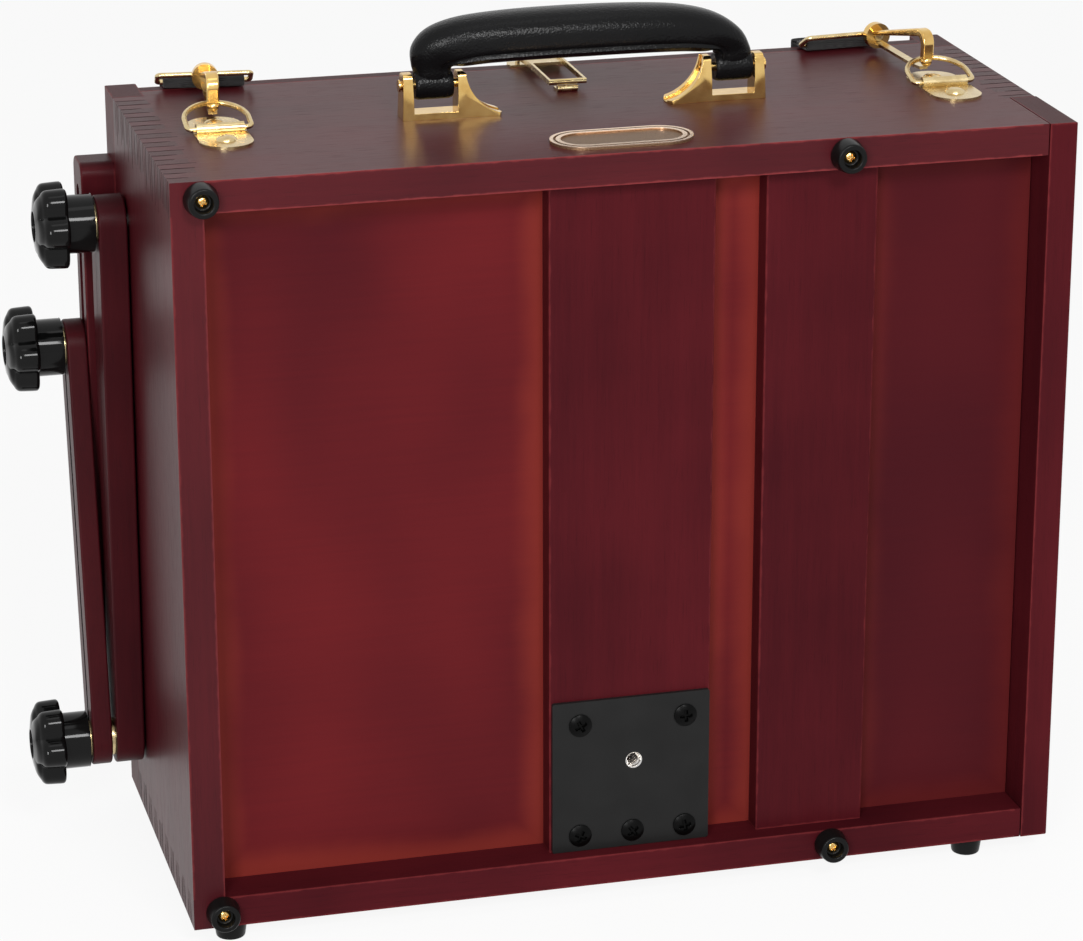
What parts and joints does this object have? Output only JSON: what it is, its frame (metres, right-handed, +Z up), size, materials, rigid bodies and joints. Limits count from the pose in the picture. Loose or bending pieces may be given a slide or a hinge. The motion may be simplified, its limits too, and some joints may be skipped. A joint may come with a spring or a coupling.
{
  "type": "pochade box",
  "caption": "Wooden pochade box with a hinged lid on slotted stays, a side drawer, a sliding palette, a carrying handle and a tripod plate.",
  "frame": {"origin": "on the ground below the middle of the whole box, knobs included", "axes": "+X from the stay side to the drawer side, +Y from the underside to the lid, +Z up as it stands on its bottom wall"},
  "size_m": [0.4586, 0.1938, 0.3995],
  "materials": {
    "stained_wood": "satin mahogany stain",
    "panel_wood": "satin mahogany stain, redder",
    "plain_wood": "thin stain on plywood",
    "brass": "polished",
    "steel": "bright",
    "black_metal": "satin black",
    "rubber": "black rubber",
    "knob_plastic": "gloss black",
    "leather": "black grained leather",
    "webbing": "black woven webbing"
  },
  "bodies": {
    "box": {"left_wall": "stained_wood", "right_wall": "stained_wood", "top_wall": "stained_wood", "bottom_wall": "stained_wood", "underside_panel": "panel_wood", "mount_board": "stained_wood", "brace_board": "stained_wood", "deck": "plain_wood", "tripod_plate": "black_metal", "tripod_bushing": "steel", "plate_screws": "black_metal", "feet": "rubber", "foot_screws": "brass", "hinge_leaves_box": "brass", "hinge_pins": "brass", "hinge_screws_box": "brass", "pivot_bolt": "steel", "pivot_washer": "brass", "handle_brackets": "brass", "handle_pins": "brass", "plaque": "brass", "ring_plates": "brass", "rivets": "brass", "latch_catch": "brass"},
    "lid": {"lid_panel": "stained_wood", "lid_rail_left": "stained_wood", "lid_rail_right": "stained_wood", "canvas_ledge": "stained_wood", "hinge_leaves_lid": "brass", "hinge_screws_lid": "brass", "stay_rail": "stained_wood", "latch_base": "brass", "strap": "webbing"},
    "canvas_clamp": {"canvas_clamp": "stained_wood"},
    "latch_hasp": {"latch_hasp": "brass"},
    "lower_arm": {"lower_arm": "stained_wood", "elbow_bolt": "steel", "elbow_washers": "brass"},
    "upper_arm": {"upper_arm": "stained_wood", "slot_bolt": "steel", "slot_washer": "brass"},
    "pivot_knob": {"pivot_knob": "knob_plastic"},
    "elbow_knob": {"elbow_knob": "knob_plastic"},
    "slot_knob": {"slot_knob": "knob_plastic"},
    "handle": {"handle": "leather"},
    "d_ring_left": {"d_ring_left": "brass"},
    "d_ring_right": {"d_ring_right": "brass"},
    "snap_hook_left": {"snap_hook_left": "brass", "hook_gate_left": "brass", "swivel_loop_left": "brass", "strap_end_left": "webbing"},
    "snap_hook_right": {"snap_hook_right": "brass", "hook_gate_right": "brass", "swivel_loop_right": "brass", "strap_end_right": "webbing"},
    "drawer": {"drawer_front": "stained_wood", "drawer_sides": "plain_wood", "drawer_back": "plain_wood", "drawer_bottom": "plain_wood"},
    "palette": {"palette": "plain_wood"}
  },
  "joints": [
    {"name": "lid_hinge", "type": "hinge", "parent": "box", "child": "lid", "pos_m": [0.0258, 0.07405, 0.006], "axis": [-1, 0, 0], "range_deg": [0, 105]},
    {"name": "lower_arm_pivot", "type": "hinge", "parent": "box", "child": "lower_arm", "pos_m": [-0.1839, 0.0379, 0.3028], "axis": [1, 0, 0], "range_deg": [0, 10.78]},
    {"name": "upper_arm_elbow", "type": "hinge", "parent": "lower_arm", "child": "upper_arm", "pos_m": [-0.197, 0.0449, 0.0498], "axis": [-1, 0, 0], "range_deg": [0, 123.33]},
    {"name": "pivot_knob_turn", "type": "hinge", "parent": "box", "child": "pivot_knob", "pos_m": [-0.2062, 0.0379, 0.3028], "axis": [-1, 0, 0], "range_deg": [0, 360]},
    {"name": "elbow_knob_turn", "type": "hinge", "parent": "lower_arm", "child": "elbow_knob", "pos_m": [-0.2162, 0.0449, 0.0498], "axis": [-1, 0, 0], "range_deg": [0, 360]},
    {"name": "slot_knob_turn", "type": "hinge", "parent": "upper_arm", "child": "slot_knob", "pos_m": [-0.2162, 0.0769, 0.2338], "axis": [-1, 0, 0], "range_deg": [0, 360]},
    {"name": "canvas_clamp_slide", "type": "slide", "parent": "lid", "child": "canvas_clamp", "axis": [0, 0, -1], "range_m": [0, 0.24]},
    {"name": "hasp_hinge", "type": "hinge", "parent": "lid", "child": "latch_hasp", "pos_m": [0.0258, 0.0779, 0.357], "axis": [-1, 0, 0], "range_deg": [0, 100]},
    {"name": "handle_hinge", "type": "hinge", "parent": "box", "child": "handle", "pos_m": [0.025, -0.0061, 0.3678], "axis": [1, 0, 0], "range_deg": [-50, 80]},
    {"name": "d_ring_left_hinge", "type": "hinge", "parent": "box", "child": "d_ring_left", "pos_m": [-0.1408, -0.0121, 0.3554], "axis": [1, 0, 0], "range_deg": [0, 110]},
    {"name": "d_ring_right_hinge", "type": "hinge", "parent": "box", "child": "d_ring_right", "pos_m": [0.1941, -0.0121, 0.3554], "axis": [1, 0, 0], "range_deg": [0, 110]},
    {"name": "snap_hook_left_hinge", "type": "hinge", "parent": "d_ring_left", "child": "snap_hook_left", "pos_m": [-0.1402, 0.00943, 0.36157], "axis": [1, 0, 0], "range_deg": [0, 60]},
    {"name": "snap_hook_right_hinge", "type": "hinge", "parent": "d_ring_right", "child": "snap_hook_right", "pos_m": [0.1911, 0.00943, 0.36157], "axis": [1, 0, 0], "range_deg": [0, 60]},
    {"name": "drawer_slide", "type": "slide", "parent": "box", "child": "drawer", "axis": [1, 0, 0], "range_m": [0, 0.3]},
    {"name": "palette_slide", "type": "slide", "parent": "box", "child": "palette", "axis": [1, 0, 0], "range_m": [0, 0.12]}
  ],
  "couplings": [
    {"joint": "lower_arm_pivot", "follows": "lid_hinge", "ratio": 0.0989},
    {"joint": "upper_arm_elbow", "follows": "lid_hinge", "ratio": 1.165}
  ]
}
